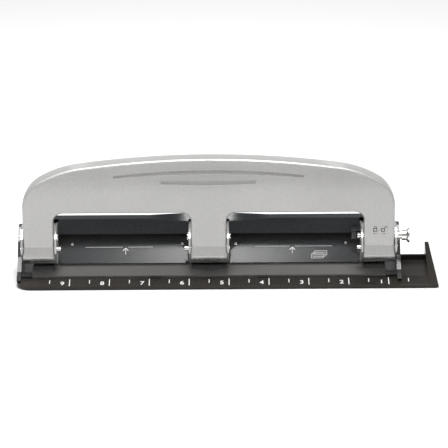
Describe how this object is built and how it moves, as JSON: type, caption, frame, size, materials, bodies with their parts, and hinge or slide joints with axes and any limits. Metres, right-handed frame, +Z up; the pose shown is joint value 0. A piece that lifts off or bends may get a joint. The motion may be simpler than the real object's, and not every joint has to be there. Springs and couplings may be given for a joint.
{
  "type": "three hole punch",
  "caption": "Desk punch with an arched squeeze handle, sprung punches in brackets, a ruler tray that catches chips, a paper stop and a sliding lock knob.",
  "frame": {"origin": "on the flat underside of the rubber mat, level with the centre hole and half way along the tray's depth", "axes": "+X along the ruler towards the paper stop, +Y from the front edge to the back, +Z up from the surface it stands on"},
  "size_m": [0.2685, 0.044, 0.0822],
  "materials": {
    "smoke_plastic": "dark smoky moulded plastic, lightly polished",
    "mat_rubber": "matte soft rubber",
    "silver_paint": "fine metallic silver paint",
    "black_paint": "smooth satin black paint with a bluish sheen",
    "black_plastic": "satin black moulded plastic",
    "zinc_steel": "zinc plated pressed sheet",
    "chrome": "polished chrome plate",
    "bright_steel": "bright turned steel"
  },
  "bodies": {
    "tray": {"chip_tray": "smoke_plastic", "non_slip_mat": "mat_rubber", "tray_hinge_pins": "bright_steel"},
    "frame": {"base_plate": "black_paint", "die_centre": "bright_steel", "die_left": "bright_steel", "die_right": "bright_steel", "end_plate_left": "black_plastic", "end_plate_right": "black_plastic", "hinge_pin_centre": "bright_steel", "hinge_pin_left": "bright_steel", "hinge_pin_right": "bright_steel", "lock_catch": "zinc_steel", "panel_rivets": "bright_steel", "paper_rest_left": "black_paint", "paper_rest_right": "black_paint", "paper_stop": "black_plastic", "punch_bracket_centre": "zinc_steel", "punch_bracket_left": "zinc_steel", "punch_bracket_right": "zinc_steel", "punch_guide_centre": "zinc_steel", "punch_guide_left": "zinc_steel", "punch_guide_right": "zinc_steel", "rear_cover": "black_paint", "return_spring_centre": "bright_steel", "return_spring_left": "bright_steel", "return_spring_right": "bright_steel", "snap_tabs": "black_plastic", "upper_cover": "black_paint"},
    "handle": {"handle": "silver_paint", "drive_pin_left": "bright_steel", "drive_pin_centre": "bright_steel", "drive_pin_clips": "bright_steel"},
    "lock": {"lock_pin": "chrome", "lock_knob": "chrome", "lock_clip": "bright_steel"},
    "punch_left": {"punch_left": "bright_steel", "punch_clip_left": "bright_steel"},
    "punch_centre": {"punch_centre": "bright_steel", "punch_clip_centre": "bright_steel"},
    "punch_right": {"punch_right": "bright_steel", "punch_clip_right": "bright_steel"}
  },
  "joints": [
    {"name": "tray_hinge", "type": "hinge", "parent": "tray", "child": "frame", "pos_m": [0, 0.0179, 0.0052], "axis": [-1, 0, 0], "range_deg": [0, 55]},
    {"name": "handle_hinge", "type": "hinge", "parent": "frame", "child": "handle", "pos_m": [0, -0.00799, 0.02299], "axis": [-1, 0, 0], "range_deg": [0, 50], "stiffness_Nm_per_rad": 0.35, "springref_deg": -28.65},
    {"name": "punch_slide_left", "type": "slide", "parent": "frame", "child": "punch_left", "axis": [0, 0.766, -0.6428], "range_m": [0, 0.00635], "deforming": ["return_spring_left"]},
    {"name": "punch_slide_centre", "type": "slide", "parent": "frame", "child": "punch_centre", "axis": [0, 0.766, -0.6428], "range_m": [0, 0.00635], "deforming": ["return_spring_centre"]},
    {"name": "punch_slide_right", "type": "slide", "parent": "frame", "child": "punch_right", "axis": [0, 0.766, -0.6428], "range_m": [0, 0.00635], "deforming": ["return_spring_right"]},
    {"name": "lock_slide", "type": "slide", "parent": "handle", "child": "lock", "axis": [1, 0, 0], "range_m": [-0.003, 0]}
  ],
  "couplings": [
    {"joint": "punch_slide_left", "follows": "handle_hinge", "m_per_rad": 0.0072643},
    {"joint": "punch_slide_centre", "follows": "handle_hinge", "m_per_rad": 0.0072643},
    {"joint": "punch_slide_right", "follows": "handle_hinge", "m_per_rad": 0.0072643}
  ]
}
